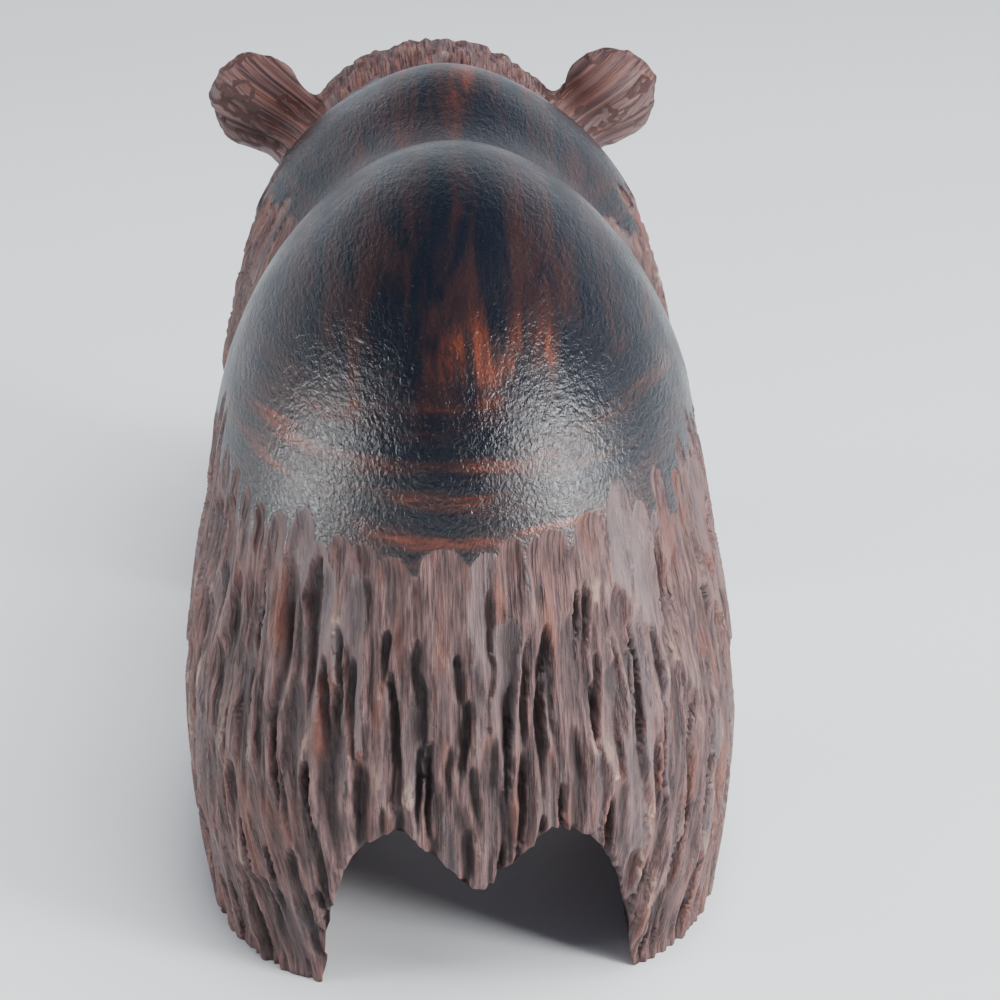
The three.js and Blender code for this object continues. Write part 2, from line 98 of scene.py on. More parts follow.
# The first row of cuts on the rump: place on the path, height of the top, half width, length
RUMP_ROW = (
    (48.3, 73.5, 1.0, 14), (43.5, 70.5, 1.3, 12), (38.1, 69.2, 1.3, 13), (33.6, 68.2, 1.5, 13),
    (29.8, 68.0, 1.5, 14), (25.8, 67.6, 1.7, 12), (21.6, 69.0, 2.0, 15), (18.6, 66.0, 1.5, 9),
    (15.4, 67.9, 2.1, 11), (12.2, 67.6, 1.7, 10), (9.0, 65.9, 2.8, 12), (6.0, 63.6, 1.6, 10),
    (2.6, 67.3, 3.2, 16), (-1.8, 67.3, 1.9, 13), (-5.0, 68.7, 1.9, 12), (-8.0, 67.8, 1.0, 9),
    (-10.4, 68.3, 2.2, 12), (-13.2, 66.0, 1.2, 9), (-15.6, 69.5, 2.3, 9), (-18.0, 66.5, 1.3, 12),
    (-20.2, 71.9, 2.1, 17), (-23.8, 68.4, 1.8, 13), (-26.9, 66.0, 1.3, 10), (-29.3, 71.0, 1.6, 11),
    (-31.6, 63.5, 1.3, 10), (-34.9, 68.6, 1.4, 12), (-38.0, 72.0, 1.3, 14), (-41.2, 69.5, 1.5, 12),
    (-44.5, 73.5, 1.3, 15), (-48.0, 71.5, 1.5, 12),
)

# How finely the carving is followed, the longest edges in millimetres
CELL = 2.0
FINE_COAT, COAT, FACE, POLISH, INSIDE = 0.5, 1.0, 0.65, 1.9, 2.4
MAP_STEP = 0.15
MOST_SPLITS = 4


def ramp(low, high, v):
    """Zero below low, one above high (or the other way round), smooth between."""
    t = np.clip((v - low) / (high - low), 0, 1)
    return t * t * (3 - 2 * t)


def join(a, b, k):
    """Two masses joined with a fillet of size k."""
    near = np.maximum(k - np.abs(a - b), 0) / k
    return np.minimum(a, b) - near * near * k / 4


def cut(a, b, k):
    return -join(-a, b, k)


def length(*parts):
    return np.sqrt(sum(p * p for p in parts))


def ovoid(x, y, z, at, half):
    x, y, z = x - at[0], y - at[1], z - at[2]
    p = length(x / half[0], y / half[1], z / half[2])
    q = length(x / half[0] ** 2, y / half[1] ** 2, z / half[2] ** 2)
    return p * (p - 1) / (q + 1e-9)


def peaked_ovoid(x, y, z, at, half, peak, soft):
    """An ovoid whose cross-section is a little peaked, with its peak rounded off."""
    u, v, w = (x - at[0]) / half[0], (y - at[1]) / half[1], (z - at[2]) / half[2]
    across, upward = np.hypot(u, soft), np.hypot(w, soft)
    whole = (1 + soft * soft) ** (peak / 2)
    total = (across ** peak + upward ** peak - soft ** peak) / whole
    section = total ** (1 / peak)
    steep = section * total ** (1 / peak - 1) / whole
    size = np.hypot(section, v)
    slope_x = steep * across ** (peak - 2) * u / half[0]
    slope_z = steep * upward ** (peak - 2) * w / half[2]
    return size * (size - 1) / (length(slope_x, v / half[1], slope_z) + 1e-9)


def tapered_rod(x, y, z, start, end, thick, tip):
    d = [e - s for s, e in zip(start, end)]
    p = [x - start[0], y - start[1], z - start[2]]
    long2 = sum(v * v for v in d)
    along = sum(u * v for u, v in zip(p, d))
    beyond = along - long2
    taper = thick - tip
    side2 = sum((u * long2 - v * along) ** 2 for u, v in zip(p, d))
    slope2 = long2 - taper * taper
    bend = np.sign(taper) * taper * taper * side2
    at_tip = np.sqrt(side2 + beyond * beyond * long2) / long2 - tip
    at_start = np.sqrt(side2 + along * along * long2) / long2 - thick
    between = (np.sqrt(side2 * slope2 / long2) + along * taper) / long2 - thick
    past_tip = np.sign(beyond) * slope2 * beyond * beyond * long2 > bend
    before_start = np.sign(along) * slope2 * along * along * long2 < bend
    return np.where(past_tip, at_tip, np.where(before_start, at_start, between))


def column(x, y, z, shape):
    """An upright mass, its plan a rounded rectangle, drawn in towards the foot and the waist."""
    foot = np.clip((ANKLE - z) / ANKLE, 0, 1)
    waist = np.clip((z - WAIST_FROM) / WAIST_OVER, 0, 1.5)
    size = 1 - shape["foot_taper"] * foot * foot - shape["waist"] * waist * waist
    u = np.abs(x) / (shape["wide"] * size)
    v = np.abs(y - shape["y"]) / (shape["long"] * size)
    plan = (u ** shape["round"] + v ** shape["round"]) ** (1 / shape["round"]) - 1
    return cut(plan * min(shape["wide"], shape["long"]), shape["top"] - z, shape["edge"])


def head_mass(x, y, z):
    q = np.abs(x)
    head = join(ovoid(x, y, z, **NECK), ovoid(x, y, z, **SKULL), 10)
    head = join(head, tapered_rod(x, y, z, **MUZZLE), 8)
    head = join(head, ovoid(x, y, z, **CHIN), 4)
    head = join(head, ovoid(x, y, z, **THROAT), 10)
    head = join(head, ovoid(q, y, z, **BROW), 4)
    head = join(head, ovoid(x, y, z, **NOSE), 2.5)
    eye = length(q - EYE_AT[0], y - EYE_AT[1], z - EYE_AT[2]) - EYE_RADIUS
    return cut(head, eye, 1)


def ear_mass(x, y, z):
    q = np.abs(x)
    ear = join(tapered_rod(q, y, z, **EAR_STALK), ovoid(q, y, z, **EAR), 4)
    return cut(ear, ovoid(q, y, z, **EAR_BOWL), 2)


def lip_depth(y, z):
    across = (z - MOUTH_Z - (MOUTH_CORNER - y) * MOUTH_RISE) * 2 / MOUTH_WIDE
    lip = MOUTH_DEEP * np.clip(1 - across * across, 0, 1)
    return lip * ramp(MOUTH_CORNER, MOUTH_CORNER - 3, y)


def outer_bear(p):
    """The bear before its coat is cut and before it is opened below: below zero in the wood."""
    x, y, z = p.T
    x = x - SWAY_BY * np.exp(-(((y - SWAY_Y) / SWAY_LONG) ** 2))
    body = join(peaked_ovoid(x, y, z, **RUMP), column(x, y, z, THIGH), 20)
    body = join(body, ovoid(x, y, z, **BARREL), 10)
    body = join(body, ovoid(np.abs(x), y, z, **SHOULDER), 8)
    body = join(body, ovoid(x, y, z, **HUMP), 10)
    body = join(body, column(x, y, z, FORELEG), 12)
    body = join(body, head_mass(x, y, z), 10)
    body = join(body, ear_mass(x, y, z), 5)
    return body + lip_depth(y, z)


def openings(p):
    """The way between the legs, less the tail left standing, and the round under the belly."""
    x, y, z = p.T
    aside = np.abs(x - WAY_X)
    wall = aside - WAY_WIDE + WAY_NARROWING * np.maximum(z, 0) ** 2
    way = cut(wall, WAY_ROOF - z, WAY_ROUND)
    tail_edge = (TAIL_TIP + aside * TAIL_SLOPE - z) / math.hypot(1, TAIL_SLOPE)
    tail_back = (TAIL_INNER - y + (TAIL_TIP - z) * TAIL_THIN) / math.hypot(1, TAIL_THIN)
    way = np.maximum(way, -np.maximum(tail_edge, tail_back))
    belly = (np.hypot((y - BELLY_Y) / BELLY_HALF, z / BELLY_HIGH) - 1) * BELLY_HIGH
    return way, belly


def plain_bear(p):
    """The whole form with its openings and paws, uncut."""
    way, belly = openings(p)
    body = cut(cut(outer_bear(p), way, 1), belly, BELLY_ROUND)
    x, y, z = np.abs(p[:, 0]), p[:, 1], p[:, 2]
    return join(body, np.minimum(ovoid(x, y, z, **FORE_PAW), ovoid(x, y, z, **HIND_PAW)), 6)


def slope_of(form, p, step=0.05):
    """The direction in which the form's value grows, at each point."""
    parts = []
    for axis in np.eye(3):
        parts.append((form(p + axis * step) - form(p - axis * step)) / (2 * step))
    return np.stack(parts, 1)


def path_at(x, y):
    """Place along the path round the body: zero at the middle of the rump, + on the left."""
    side = np.where(x < 0, -1.0, 1.0)
    rear = PATH_RADIUS * np.arctan2(x, y - PATH_REAR)
    flank = side * (QUARTER + PATH_REAR - y)
    front = side * (HALF_PATH - PATH_FRONT_RADIUS * np.arctan2(np.abs(x), PATH_FRONT - y))
    return np.where(y > PATH_REAR, rear, np.where(y > PATH_FRONT, flank, front))


def coat_edge(s):
    """Height of the edge between the polished back and the coat."""
    a = np.abs(s)
    rear = COAT_HEIGHT + 6 * ramp(26, 52, a) + 4 * ramp(60, 100, a)
    return rear + 4 * ramp(110, 135, a) + 9 * ramp(136, 160, a)


def lean_at(s, v):
    """How far a leaning cut has moved aside at height v, on the thighs."""
    t = np.clip((v - 14) / 36, 0, 1)
    run = np.minimum(v, 14) + 36 * (t - t ** 3 + t ** 4 / 2)
    on_thigh = ramp(12, 30, np.abs(s)) * (1 - ramp(66, 88, np.abs(s)))
    return np.sign(s) * LEAN * on_thigh * run


class CutMap:
    """A flat sheet of gouge cuts. Each place keeps its deepest cut's depth, shade and chipped end."""

    def __init__(self, s_range, v_range, seed):
        self.low = np.array([s_range[0], v_range[0]], float)
        size = [int((r[1] - r[0]) / MAP_STEP) + 1 for r in (s_range, v_range)]
        self.depth, self.tone, self.chip = np.zeros((3, *size))
        self.draw = np.random.default_rng(seed)

    def gouge(self, s, top, wide, long, deep, lean=0.0, point=2.0):
        """One scoop: hollow across, stopped at the top, running out below."""
        up, down = long * STOP * 0.5, long
        at = top - up
        reach = wide + abs(lean) * long
        first = np.floor((np.array([s - reach, at - down]) - self.low) / MAP_STEP).astype(int)
        last = np.ceil((np.array([s + reach, at + up]) - self.low) / MAP_STEP).astype(int)
        (i0, j0), (i1, j1) = np.maximum(first, 0), np.minimum(last, self.depth.shape)
        if i0 >= i1 or j0 >= j1:
            return
        place_s = self.low[0] + np.arange(i0, i1)[:, None] * MAP_STEP
        along = self.low[1] + np.arange(j0, j1)[None] * MAP_STEP - at
        run = np.where(along > 0, along / up, -along / down)
        across = np.abs(place_s - s - lean * along) / wide
        dip = np.where(along > 0, 1 - run ** 3, 1 - run ** 1.7)
        depth = deep * (dip - across ** point)
        sheet = self.depth[i0:i1, j0:j1]
        deeper = depth > sheet
        sheet[deeper] = depth[deeper]
        self.tone[i0:i1, j0:j1][deeper] = self.draw.random()
        ending = np.broadcast_to(ramp(0.45, 0.95, -along / down), depth.shape)
        self.chip[i0:i1, j0:j1][deeper] = (ending * (self.draw.random() ** 2))[deeper]

    def scatter(self, columns, rows, pitch, row_pitch, top, wide, long, deep, spread, lean):
        """Rows of cuts side by side, each a little off its place."""
        pick = self.draw.uniform
        for i in range(-columns, columns + 1):
            for j in range(rows):
                s = (i + pick(-0.35, 0.35)) * pitch
                size = pick(*long)
                high = top(s) + pick(-0.6, 0.4) * spread - (j + (pick(-0.4, 0.4) if j else 0)) * row_pitch
                slant = lean(s, high - size * 0.4) + pick(-0.05, 0.05)
                self.gouge(s, high, pick(*wide), size, pick(*deep), slant, pick(1.3, 2.4))

    def read(self, s, v):
        """Depth, shade and chipped end at each place."""
        place = (np.stack([s, v], 1) - self.low) / MAP_STEP
        place = np.clip(place, 0, np.array(self.depth.shape) - 1.001)
        cell = place.astype(int)
        (i, j), (a, b) = cell.T, (place - cell).T
        d = self.depth
        near = d[i, j] * (1 - a) + d[i + 1, j] * a
        far = d[i, j + 1] * (1 - a) + d[i + 1, j + 1] * a
        return near * (1 - b) + far * b, self.tone[i, j], self.chip[i, j]


def body_lean(s, v):
    low = 1 - float(ramp(14, 50, v))
    on_thigh = float(ramp(12, 30, abs(s)) * (1 - ramp(66, 88, abs(s))))
    return math.copysign(LEAN * low * on_thigh, s)


def body_cuts():
    """The coat of the body: a laid-out first row on the rump, rows of broad cuts, fine ones over them."""
    sheet = CutMap((-HALF_PATH - 1, HALF_PATH + 1), (-4, 100), seed=11)
    pick = sheet.draw.uniform
    for s, top, wide, long in RUMP_ROW:
        deep = pick(1.0, 1.5) * (0.6 + 0.16 * wide)
        sheet.gouge(s, top, wide, long, deep, pick(-0.03, 0.03), pick(1.6, 2.4))
    edge = lambda s: float(coat_edge(s))
    for i in range(-60, 61):
        s = (i + pick(-0.3, 0.3)) * 3.3
        if abs(s) > 49:
            top = edge(s) + pick(-4, 4)
            wide, long, deep = pick(1.4, 2.4), pick(9, 16), pick(0.9, 1.7)
            sheet.gouge(s, top, wide, long, deep, pick(-0.05, 0.05), pick(1.5, 2.2))
    sheet.scatter(58, 4, 3.4, 15, lambda s: edge(s) - 5, (1.4, 2.4), (13, 25), (0.9, 1.9), 9, body_lean)
    sheet.scatter(100, 5, 1.95, 13, lambda s: edge(s) - 7, (0.6, 1.3), (10, 27), (1.1, 2.3), 12, body_lean)
    sheet.scatter(40, 5, 4.9, 14, lambda s: edge(s) - 8, (0.5, 0.85), (10, 26), (2.1, 3.3), 16, body_lean)
    return sheet


def head_cuts():
    """The coat of the head runs from the neck towards the muzzle."""
    sheet = CutMap((-78, 78), (-84, -28), seed=23)
    edge = lambda s: HEAD_REAR
    straight = lambda s, v: 0.0
    sheet.scatter(21, 4, 3.5, 10, edge, (1.5, 2.3), (8, 13), (0.7, 1.3), 6, straight)
    sheet.scatter(32, 5, 2.3, 8, lambda s: HEAD_REAR - 2, (0.8, 1.4), (6, 11), (0.8, 1.5), 7, straight)
    return sheet


def ear_cuts():
    """Facets on the ears, back and front, each a sheet laid along the ear."""
    sheets = []
    for seed in range(4):
        sheet = CutMap((-16, 16), (-18, 18), seed=31 + seed)
        sheet.scatter(6, 3, 2.6, 9, lambda s: 16, (1.5, 2.4), (7, 11), (0.6, 1.3), 6, lambda s, v: 0.15)
        sheets.append(sheet)
    return sheets


BODY_SHEET, HEAD_SHEET, EAR_SHEETS = body_cuts(), head_cuts(), ear_cuts()


def blotch(u, v, w=0.0):
    """A smooth wandering value between about -1 and 1."""
    first = np.sin(u * 1.3 + 2.1 * np.sin(v * 0.9 + w) + 0.7)
    second = np.sin(v * 1.7 + 1.6 * np.sin(u * 1.1 - w * 1.3) + 2.9)
    return (first + second) / 2


def coat_at(p, rise, deepest):
    """What the gouge left at each point: depth, shade, chipped end, and the way the fibres run."""
    x, y, z = p.T
    s = path_at(x, y)
    straight = s - lean_at(s, z)
    wander = 0.35 * blotch(z / 4.5, s / 6) + 0.12 * blotch(z / 1.4, s / 2)
    on_head = ramp(-33, -41, y) * ramp(50, 60, z + (y + 45) * 0.3)
    behind_face = 1 - ramp(HEAD_FRONT + 6, HEAD_FRONT - 3, y)
    body = BODY_SHEET.read(s + wander, z - rise + 0.6 * blotch(s / 3, z / 9))
    ground = 0.35 * ramp(-4, -9, z - rise - coat_edge(s))
    body_depth = (np.maximum(body[0], ground)) * (1 - on_head)
    around = HEAD_RADIUS * np.arctan2(x, z - HEAD_AXIS_Z)
    head = HEAD_SHEET.read(around + wander, y)
    head_ground = 0.3 * ramp(-41, -46, y)
    head_depth = np.maximum(head[0], head_ground) * on_head * behind_face
    depth = np.maximum(body_depth, head_depth)
    use_head = head_depth > body_depth
    tone, chip = np.where(use_head, head[1], body[1]), np.where(use_head, head[2], body[2])
    fibre = np.stack([np.where(use_head, around + 400, straight), np.where(use_head, y, z), on_head], 1)
    out, up = np.abs(x) - EAR["at"][0], z - EAR["at"][2]
    reach = length(out, y - EAR["at"][1], up)
    on_ear = (z > 68) & (np.abs(x) > 20) & (reach < 18)
    along, aside = (out + up) * math.sqrt(0.5), (out - up) * math.sqrt(0.5)
    for number, sheet in enumerate(EAR_SHEETS):
        here = on_ear & ((x > 0) == (number % 2 == 0)) & ((y > EAR["at"][1]) == (number < 2))
        found = sheet.read(aside[here], along[here])
        ear_depth = found[0] * (1 - ramp(12, 17, reach[here]))
        more = ear_depth > depth[here]
        where = np.flatnonzero(here)[more]
        depth[where], tone[where], chip[where] = ear_depth[more], found[1][more], found[2][more]
        fibre[where] = np.stack([aside[here][more] + 700, along[here][more], here[here][more] * 2.0], 1)
    return np.minimum(depth, deepest) * ramp(-3, 3, z), tone, chip, fibre


def settle(points, floor, steps=2):
    """Moves points onto the plain form. Points on the floor keep to it, and only their outer ones move."""
    for _ in range(steps):
        value = plain_bear(points)
        slope = slope_of(plain_bear, points)
        slope[floor, 2] = 0
        size = np.maximum((slope * slope).sum(1), 0.3)
        value = np.where(floor & (value < -0.3), 0, value)
        points = points - slope * np.clip(value / size, -1.5, 1.5)[:, None]
        points[:, 2] = np.maximum(points[:, 2], 0)
        points[floor, 2] = 0
    return points


def first_skin():
    """The plain form's surface: a point in each cell that it crosses, a face round each grid line."""
    low, high = np.array([-45.0, -99, -CELL]), np.array([45.0, 99, 108])
    axes = [np.arange(a, b, CELL) for a, b in zip(low, high)]
    shape = tuple(len(a) for a in axes)
    nodes = np.stack(np.meshgrid(*axes, indexing="ij"), -1).reshape(-1, 3)
    value = np.maximum(plain_bear(nodes), -nodes[:, 2])
    inside = (value < 0).reshape(shape)
    value = value.reshape(shape)
    total, count = np.zeros((value.size, 3)), np.zeros(value.size)
    flat = lambda index: np.ravel_multi_index(tuple(index.T), shape)
    quads = []
    for axis in range(3):
        step = np.eye(3, dtype=int)[axis]
        aside = np.eye(3, dtype=int)[(axis + 1) % 3], np.eye(3, dtype=int)[(axis + 2) % 3]
        lower = tuple(slice(0, n - s) for n, s in zip(shape, step))
        upper = tuple(slice(s, n) for n, s in zip(shape, step))
        index = np.argwhere(inside[lower] != inside[upper])
        a, b = value[tuple(index.T)], value[tuple((index + step).T)]
        place = low + (index + step * (a / (a - b))[:, None]) * CELL
        around = [index, index - aside[0], index - aside[0] - aside[1], index - aside[1]]
        for cell in around:
            for k in range(3):
                total[:, k] += np.bincount(flat(cell), place[:, k], value.size)
            count += np.bincount(flat(cell), minlength=value.size)
        quad = np.stack([flat(cell) for cell in around], 1)
        outward = inside[tuple(index.T)]
        quads.append(np.where(outward[:, None], quad, quad[:, ::-1]))
    used = np.flatnonzero(count)
    number = np.zeros(value.size, int)
    number[used] = np.arange(len(used))
    points = total[used] / count[used, None]
    quads = number[np.concatenate(quads)]
    floor = np.unravel_index(used, shape)[2] == 1
    points[floor, 2] = 0
    corner = points[quads]
    first = np.linalg.norm(corner[:, 0] - corner[:, 2], axis=1)
    second = np.linalg.norm(corner[:, 1] - corner[:, 3], axis=1)
    turned = np.where((first > second)[:, None], np.roll(quads, 1, axis=1), quads)
    faces = np.concatenate([turned[:, [0, 1, 2]], turned[:, [0, 2, 3]]])
    return settle(points, floor, 3), faces, floor


def edges_of(faces):
    """Each edge once, and which edge each side of each face is."""
    sides = np.sort(np.stack([faces, np.roll(faces, -1, axis=1)], -1), axis=-1)
    key = sides[..., 0] * (faces.max() + 1) + sides[..., 1]
    known, back = np.unique(key, return_inverse=True)
    edges = np.stack(np.divmod(known, faces.max() + 1), 1)
    return edges, back.reshape(faces.shape)


def relax(points, faces, floor, rounds=3):
    """Evens out the spacing of the points along the form."""
    edges, _ = edges_of(faces)
    for _ in range(rounds):
        total = np.zeros_like(points)
        for k in range(3):
            for a, b in ((0, 1), (1, 0)):
                total[:, k] += np.bincount(edges[:, a], points[edges[:, b], k], len(points))
        count = np.bincount(edges.ravel(), minlength=len(points))
        middle = total / count[:, None]
        points = np.where(floor[:, None], points, points + (middle - points) * 0.5)
        points = settle(points, floor, 1)
    return points


def longest_wanted(p, rise, fine):
    """The longest edge wanted at each place: short in the coat and the face, long in the polish."""
    x, y, z = p.T
    s = path_at(x, y)
    buried = outer_bear(p) < -0.6
    on_head = ramp(-33, -41, y) * ramp(50, 60, z + (y + 45) * 0.3) > 0.5
    in_coat = (z < coat_edge(s) + rise + 5) | (on_head & (y > HEAD_FRONT - 4))
    wanted = np.where(in_coat, COAT, POLISH)
    rear = in_coat & (np.abs(s) < 62) & ~on_head & (y > 30)
    wanted = np.where(rear, fine, wanted)
    on_face = (y < HEAD_FRONT + 2) & (z > 48)
    wanted = np.where(on_face, np.where(y < -76, FACE, COAT), wanted)
    return np.where(buried, INSIDE, wanted)


def split_long(points, faces, floor, rise, fine):
    """Halves every edge that is longer than wanted, and keeps the skin whole."""
    edges, sides = edges_of(faces)
    ends = points[edges]
    size = np.linalg.norm(ends[:, 0] - ends[:, 1], axis=1)
    halved = size > 1.35 * longest_wanted(ends.mean(1), rise, fine)
    middle = np.full(len(edges), -1)
    middle[halved] = len(points) + np.arange(halved.sum())
    new_floor = floor[edges[halved]].all(1)
    new = settle(ends[halved].mean(1), new_floor)
    points, floor = np.concatenate([points, new]), np.concatenate([floor, new_floor])
    mark = middle[sides]
    marked = mark >= 0
    code = marked @ np.array([1, 2, 4])
    made = [faces[code == 0]]
    turns = {1: 0, 2: 1, 4: 2, 3: 0, 6: 1, 5: 2, 7: 0}
    for pattern, turn in turns.items():
        a, b, c = np.roll(faces[code == pattern], -turn, axis=1).T
        p, q, r = np.roll(mark[code == pattern], -turn, axis=1).T
        count = int(pattern).bit_count()
        if count == 1:
            made += [np.stack([a, p, c], 1), np.stack([p, b, c], 1)]
        elif count == 2:
            made.append(np.stack([p, b, q], 1))
            left = np.linalg.norm(points[a] - points[q], axis=1)
            right = np.linalg.norm(points[p] - points[c], axis=1)
            near = (left < right)[:, None]
            made.append(np.where(near, np.stack([a, p, q], 1), np.stack([a, p, c], 1)))
            made.append(np.where(near, np.stack([a, q, c], 1), np.stack([p, q, c], 1)))
        else:
            corners = [(a, p, r), (p, b, q), (r, q, c), (p, q, r)]
            made += [np.stack(corner, 1) for corner in corners]
    return points, np.concatenate(made), floor


def carve(coat_height, deepest, fine):
    """The whole carving: points in millimetres, faces, and what the finish needs at each point."""
    rise = coat_height - COAT_HEIGHT
    points, faces, floor = first_skin()
    points = relax(points, faces, floor)
    for _ in range(MOST_SPLITS):
        points, faces, floor = split_long(points, faces, floor, rise, fine)
    outer = outer_bear(points)
    depth, tone, chip, fibre = coat_at(points, rise, deepest)
    depth = depth * (1 - ramp(0.3, 1.6, outer))
    slope = slope_of(outer_bear, points)
    slope[floor, 2] = 0
    slope /= np.maximum(np.linalg.norm(slope, axis=1), 0.3)[:, None]
    inward = np.maximum(np.minimum(outer, 0) + depth, 0)
    carved = points - slope * inward[:, None]
    carved[:, 2] = np.maximum(carved[:, 2], 0)
    within = ramp(-0.2, -0.9, outer)
    coat = np.maximum(np.clip(depth / 0.15, 0, 1), within)
    # The mask made from the cut depth carries painted shade: the finish darkens the coat by it in the deepest
    # cuts
    masks = dict(coat=coat, groove_shade_mask=np.clip(depth / 2, 0, 1), tone=tone, chip=chip, within=within)
    return carved, faces, masks, fibre


class Recipe:
    """Writes a node tree down: each node by its kind, its settings and what goes into it."""

    def __init__(self, tree):
        self.tree = tree
        tree.nodes.clear()

    def __call__(self, kind, inputs=(), out=0, **settings):
        node = self.tree.nodes.new("ShaderNode" + kind)
        for name, value in settings.items():
            setattr(node, name, value)
        for name, value in dict(inputs).items():
            self.feed(node.inputs[name], value)
        return node.outputs[out]

    def feed(self, socket, value):
        if isinstance(value, bpy.types.NodeSocket):
            self.tree.links.new(value, socket)
        else:
            socket.default_value = value

    def mask(self, name):
        return self("Attribute", attribute_name=name, out="Fac")

    def math(self, operation, a, b=0.0):
        return self("Math", {0: a, 1: b}, operation=operation)

    def band(self, value, low, high, to_low=0.0, to_high=1.0):
        """A value between low and high brought smoothly between two others."""
        parts = {"Value": value, "From Min": low, "From Max": high, "To Min": to_low, "To Max": to_high}
        return self("MapRange", parts, interpolation_type="SMOOTHSTEP")

    def blend(self, share, first, second, kind="MIX"):
        node = self.tree.nodes.new("ShaderNodeMix")
        node.data_type = "RGBA"
        node.blend_type = kind
        self.feed(node.inputs["Factor"], share)
        self.feed(node.inputs[6], first)
        self.feed(node.inputs[7], second)
        return node.outputs[2]

    def noise(self, place, scale, detail=3.0, rough=0.55, twist=0.0):
        parts = {"Vector": place, "Scale": scale, "Detail": detail, "Roughness": rough, "Distortion": twist}
        return self("TexNoise", parts)

    def stretched(self, place, scale):
        return self("Mapping", {"Vector": place, "Scale": scale})


def ironwood(look):
    """Dark ironwood: figured and polished on the back, torn and matt in the gouge cuts, with painted shade in
    their deepest parts.
    """
    material = bpy.data.materials.new("ironwood")
    material.use_nodes = True
    add = Recipe(material.node_tree)
    place = add("TexCoord", out="Object")
    fibre = add("Attribute", attribute_name="fibre", out="Vector")
    coat, groove_shade_mask, tone, chip = (add.mask(n) for n in ("coat", "groove_shade_mask", "tone", "chip"))

    height = add("SeparateXYZ", {"Vector": place}, out="Z")
    on_top = add.band(height, 0.078, 0.09)
    layers = add.noise(add.stretched(place, (35, 30, 330)), 1, 5, 0.62, 0.4)
    streaks = add.noise(add.stretched(place, (210, 17, 60)), 1, 5, 0.62, 0.5)
    clouds = add.noise(add.stretched(place, (45, 20, 60)), 1, 3, 0.5)
    figure = add("Mix", {"Factor": on_top, 2: layers, 3: streaks})
    polish = add.blend(add.band(figure, 0.42, 0.6), look.polish_dark, look.polish_brown)
    red = add.math("MULTIPLY", add.band(figure, 0.55, 0.72), add.band(clouds, 0.45, 0.62))
    polish = add.blend(red, polish, look.polish_red)

    fine = add.noise(add.stretched(fibre, (2.6, 0.16, 1)), 1, 4, 0.65)
    broad = add.noise(add.stretched(fibre, (0.45, 0.06, 1)), 1, 3, 0.55)
    torn = add.noise(add.stretched(fibre, (1.1, 0.3, 1)), 1, 5, 0.7)
    wood = add.blend(add.band(fine, 0.35, 0.68), look.coat_dark, look.coat_light)
    wood = add.blend(add.band(broad, 0.5, 0.72, 0, 0.7), wood, look.coat_warm)
    wood = add.blend(add.band(tone, 0.55, 1, 0, 0.55), wood, look.coat_ash)
    wood = add.blend(add.math("MULTIPLY", chip, add.band(torn, 0.4, 0.6)), wood, look.coat_chip)
    # Painted shade: the coat is darkened towards the bottoms of the deeper cuts
    wood = add.blend(add.band(groove_shade_mask, 0.35, 1, 0, 0.8), wood, look.groove_shade_colour)
    colour = add.blend(coat, polish, wood)

    pores = add.noise(add.stretched(place, (1900, 420, 1500)), 1, 4, 0.6, 0.3)
    leather = add.noise(add.stretched(place, (1100, 700, 1100)), 1, 3, 0.6, 0.8)
    skin = add.math("ADD", pores, leather)
    hair = add.math("ADD", add.math("MULTIPLY", fine, 1.4), torn)
    relief = add("Mix", {"Factor": coat, 2: skin, 3: add.math("MULTIPLY", hair, 2.2)})
    bump = add("Bump", {"Strength": 0.8, "Distance": 0.0002, "Height": relief}, out="Normal")

    rough = add.band(add.noise(place, 160, 3), 0.3, 0.7, look.polish_rough - 0.05, look.polish_rough + 0.06)
    torn_rough = add.band(torn, 0.3, 0.7, 0.5, 0.75)
    shader = add(
        "BsdfPrincipled",
        {
            "Base Color": colour,
            "Roughness": add("Mix", {"Factor": coat, 2: rough, 3: torn_rough}),
            "Normal": bump,
            "IOR": 1.5,
        },
    )
    add("OutputMaterial", {"Surface": shader}, out=slice(0))
    return material


def plain_floor(colour):
    """The pale paper that the bear stands on."""
    material = bpy.data.materials.new("pale_floor")
    material.use_nodes = True
    add = Recipe(material.node_tree)
    place = add("TexCoord", out="Object")
    shade = add.blend(add.noise(place, 6, 2), colour, [c * 0.97 for c in colour[:3]] + [1])
    shader = add("BsdfPrincipled", {"Base Color": shade, "Roughness": 0.7})
    add("OutputMaterial", {"Surface": shader}, out=slice(0))
    return material


def colour_choice(name, text, value):
    return bpy.props.FloatVectorProperty(
        name=name, description=text, subtype="COLOR", size=4, min=0, max=1, default=(*value, 1)
    )


def size_choice(name, text, size):
    """A length for the panel, worked out from millimetres."""
    return bpy.props.FloatProperty(
        name=name, description=text, default=size * MM, min=size * MM / 4, precision=4, unit="LENGTH"
    )


